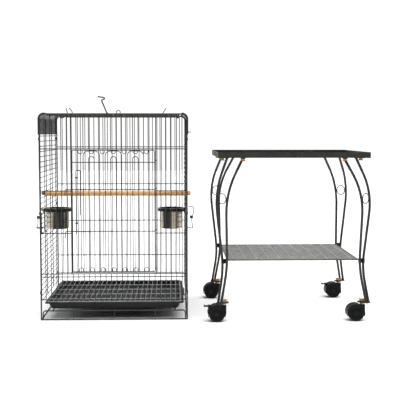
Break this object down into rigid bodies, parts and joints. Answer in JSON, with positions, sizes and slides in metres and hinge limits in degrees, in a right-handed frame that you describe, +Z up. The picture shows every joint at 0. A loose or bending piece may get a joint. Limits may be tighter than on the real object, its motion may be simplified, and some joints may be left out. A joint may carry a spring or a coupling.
{
  "type": "bird cage with rolling stand",
  "caption": "Wire bird cage with a front door, opening roof, feeders, perch and tray, beside its square wire stand on swivel casters with a wire shelf.",
  "frame": {"origin": "on the floor, under the middle of the box round the cage and the stand", "axes": "+X from the cage towards the stand, -Y towards the cage door, +Z up"},
  "size_m": [1.0537, 0.5159, 0.699],
  "materials": {
    "wire_paint": "hammertone powder coat",
    "cover_paint": "satin powder coat",
    "tray_paint": "satin, blue black",
    "zinc_wire": "zinc plated wire",
    "cup_steel": "mirror polished stainless",
    "black_plastic": "moulded, fine grain",
    "gloss_black_plastic": "moulded, satin gloss",
    "wood": "sanded hardwood dowel, clear lacquer",
    "steel": "turned steel",
    "brass_fasteners": "yellow zinc plated"
  },
  "bodies": {
    "cage": {"front_panel": "wire_paint", "back_panel": "wire_paint", "side_panel_left": "wire_paint", "side_panel_right": "wire_paint", "corner_cover_left": "cover_paint", "corner_cover_right": "cover_paint", "roof_rails": "wire_paint", "panel_clips": "cover_paint", "base_frame": "wire_paint", "cover_peg": "wire_paint", "perch_dowel": "wood", "perch_screws": "steel", "perch_knob": "wood", "perch_nut": "black_plastic", "feeder_bolts": "steel", "feeder_ring_left": "black_plastic", "feeder_ring_right": "black_plastic"},
    "front_door": {"front_door": "wire_paint", "door_arcs": "wire_paint", "latch_guides": "wire_paint"},
    "door_latch": {"door_latch": "wire_paint", "latch_handle": "wire_paint"},
    "roof_left": {"roof_left": "wire_paint"},
    "roof_right": {"roof_right": "wire_paint", "roof_catch": "wire_paint"},
    "roof_latch": {"roof_latch": "wire_paint"},
    "feeder_flap_left": {"feeder_flap_left": "wire_paint"},
    "feeder_flap_right": {"feeder_flap_right": "wire_paint"},
    "feeder_hook_left": {"feeder_handle_left": "wire_paint"},
    "feeder_hook_right": {"feeder_handle_right": "wire_paint"},
    "feeder_cup_left": {"feeder_cup_left": "cup_steel"},
    "feeder_cup_right": {"feeder_cup_right": "cup_steel"},
    "tray": {"tray": "tray_paint"},
    "floor_grille": {"floor_grille": "zinc_wire"},
    "stand": {"stand_top_frame": "wire_paint", "leg_front_left": "wire_paint", "leg_front_right": "wire_paint", "leg_back_left": "wire_paint", "leg_back_right": "wire_paint", "leg_bolts": "brass_fasteners", "leg_nuts": "brass_fasteners", "shelf": "zinc_wire", "shelf_clamps": "black_plastic", "caster_stems": "steel", "caster_nuts": "brass_fasteners"},
    "caster_front_left": {"caster_hood_front_left": "gloss_black_plastic", "caster_axle_front_left": "steel"},
    "wheels_front_left": {"caster_wheels_front_left": "black_plastic"},
    "caster_front_right": {"caster_hood_front_right": "gloss_black_plastic", "caster_axle_front_right": "steel"},
    "wheels_front_right": {"caster_wheels_front_right": "black_plastic"},
    "caster_back_left": {"caster_hood_back_left": "gloss_black_plastic", "caster_axle_back_left": "steel"},
    "wheels_back_left": {"caster_wheels_back_left": "black_plastic"},
    "caster_back_right": {"caster_hood_back_right": "gloss_black_plastic", "caster_axle_back_right": "steel"},
    "wheels_back_right": {"caster_wheels_back_right": "black_plastic"},
    "brake_front_left": {"brake_pedal_front_left": "gloss_black_plastic"},
    "brake_back_right": {"brake_pedal_back_right": "gloss_black_plastic"}
  },
  "joints": [
    {"name": "front_door_hinge", "type": "hinge", "parent": "cage", "child": "front_door", "pos_m": [-0.1459, -0.2012, 0.3], "axis": [0, 0, 1], "range_deg": [0, 110]},
    {"name": "door_latch_lift", "type": "slide", "parent": "front_door", "child": "door_latch", "axis": [0, 0, 1], "range_m": [0, 0.014]},
    {"name": "roof_left_hinge", "type": "hinge", "parent": "cage", "child": "roof_left", "pos_m": [-0.4792, 0.0272, 0.6385], "axis": [0, -1, 0], "range_deg": [0, 100]},
    {"name": "roof_right_hinge", "type": "hinge", "parent": "cage", "child": "roof_right", "pos_m": [-0.0752, 0.0272, 0.6385], "axis": [0, 1, 0], "range_deg": [0, 100]},
    {"name": "roof_latch_turn", "type": "hinge", "parent": "roof_left", "child": "roof_latch", "pos_m": [-0.2962, -0.1778, 0.643], "axis": [0, 1, 0], "range_deg": [0, 60]},
    {"name": "feeder_flap_left_hinge", "type": "hinge", "parent": "cage", "child": "feeder_flap_left", "pos_m": [-0.50145, -0.1428, 0.2705], "axis": [0, -1, 0], "range_deg": [0, 110]},
    {"name": "feeder_flap_right_hinge", "type": "hinge", "parent": "cage", "child": "feeder_flap_right", "pos_m": [-0.05295, -0.1428, 0.2705], "axis": [0, 1, 0], "range_deg": [0, 110]},
    {"name": "feeder_hook_left_turn", "type": "hinge", "parent": "feeder_flap_left", "child": "feeder_hook_left", "pos_m": [-0.5202, -0.1244, 0.317], "axis": [0, 1, 0], "range_deg": [0, 170]},
    {"name": "feeder_hook_right_turn", "type": "hinge", "parent": "feeder_flap_right", "child": "feeder_hook_right", "pos_m": [-0.0342, -0.1244, 0.317], "axis": [0, 1, 0], "range_deg": [0, 170]},
    {"name": "feeder_cup_left_lift", "type": "slide", "parent": "cage", "child": "feeder_cup_left", "axis": [0, 0, 1], "range_m": [0, 0.07]},
    {"name": "feeder_cup_right_lift", "type": "slide", "parent": "cage", "child": "feeder_cup_right", "axis": [0, 0, 1], "range_m": [0, 0.07]},
    {"name": "tray_slide", "type": "slide", "parent": "cage", "child": "tray", "axis": [0, -1, 0], "range_m": [0, 0.42]},
    {"name": "floor_grille_slide", "type": "slide", "parent": "cage", "child": "floor_grille", "axis": [0, -1, 0], "range_m": [0, 0.4]},
    {"name": "stand_roll", "type": "slide", "parent": "cage", "child": "stand", "axis": [1, 0, 0], "range_m": [0, 0.3]},
    {"name": "caster_swivel_front_left", "type": "hinge", "parent": "stand", "child": "caster_front_left", "pos_m": [0.0638, -0.2318, 0.05], "axis": [0, 0, 1], "continuous": true},
    {"name": "wheel_spin_front_left", "type": "hinge", "parent": "caster_front_left", "child": "wheels_front_left", "pos_m": [0.0418, -0.2318, 0.025], "axis": [0, 1, 0], "continuous": true},
    {"name": "caster_swivel_front_right", "type": "hinge", "parent": "stand", "child": "caster_front_right", "pos_m": [0.4978, -0.2318, 0.05], "axis": [0, 0, 1], "continuous": true},
    {"name": "wheel_spin_front_right", "type": "hinge", "parent": "caster_front_right", "child": "wheels_front_right", "pos_m": [0.4758, -0.2318, 0.025], "axis": [0, 1, 0], "continuous": true},
    {"name": "caster_swivel_back_left", "type": "hinge", "parent": "stand", "child": "caster_back_left", "pos_m": [0.0638, 0.2022, 0.05], "axis": [0, 0, 1], "continuous": true},
    {"name": "wheel_spin_back_left", "type": "hinge", "parent": "caster_back_left", "child": "wheels_back_left", "pos_m": [0.0418, 0.2022, 0.025], "axis": [0, 1, 0], "continuous": true},
    {"name": "caster_swivel_back_right", "type": "hinge", "parent": "stand", "child": "caster_back_right", "pos_m": [0.4978, 0.2022, 0.05], "axis": [0, 0, 1], "continuous": true},
    {"name": "wheel_spin_back_right", "type": "hinge", "parent": "caster_back_right", "child": "wheels_back_right", "pos_m": [0.4758, 0.2022, 0.025], "axis": [0, 1, 0], "continuous": true},
    {"name": "brake_pedal_front_left_press", "type": "hinge", "parent": "caster_front_left", "child": "brake_front_left", "pos_m": [0.0178, -0.2318, 0.047], "axis": [0, -1, 0], "range_deg": [0, 12]},
    {"name": "brake_pedal_back_right_press", "type": "hinge", "parent": "caster_back_right", "child": "brake_back_right", "pos_m": [0.4518, 0.2022, 0.047], "axis": [0, -1, 0], "range_deg": [0, 12]}
  ]
}
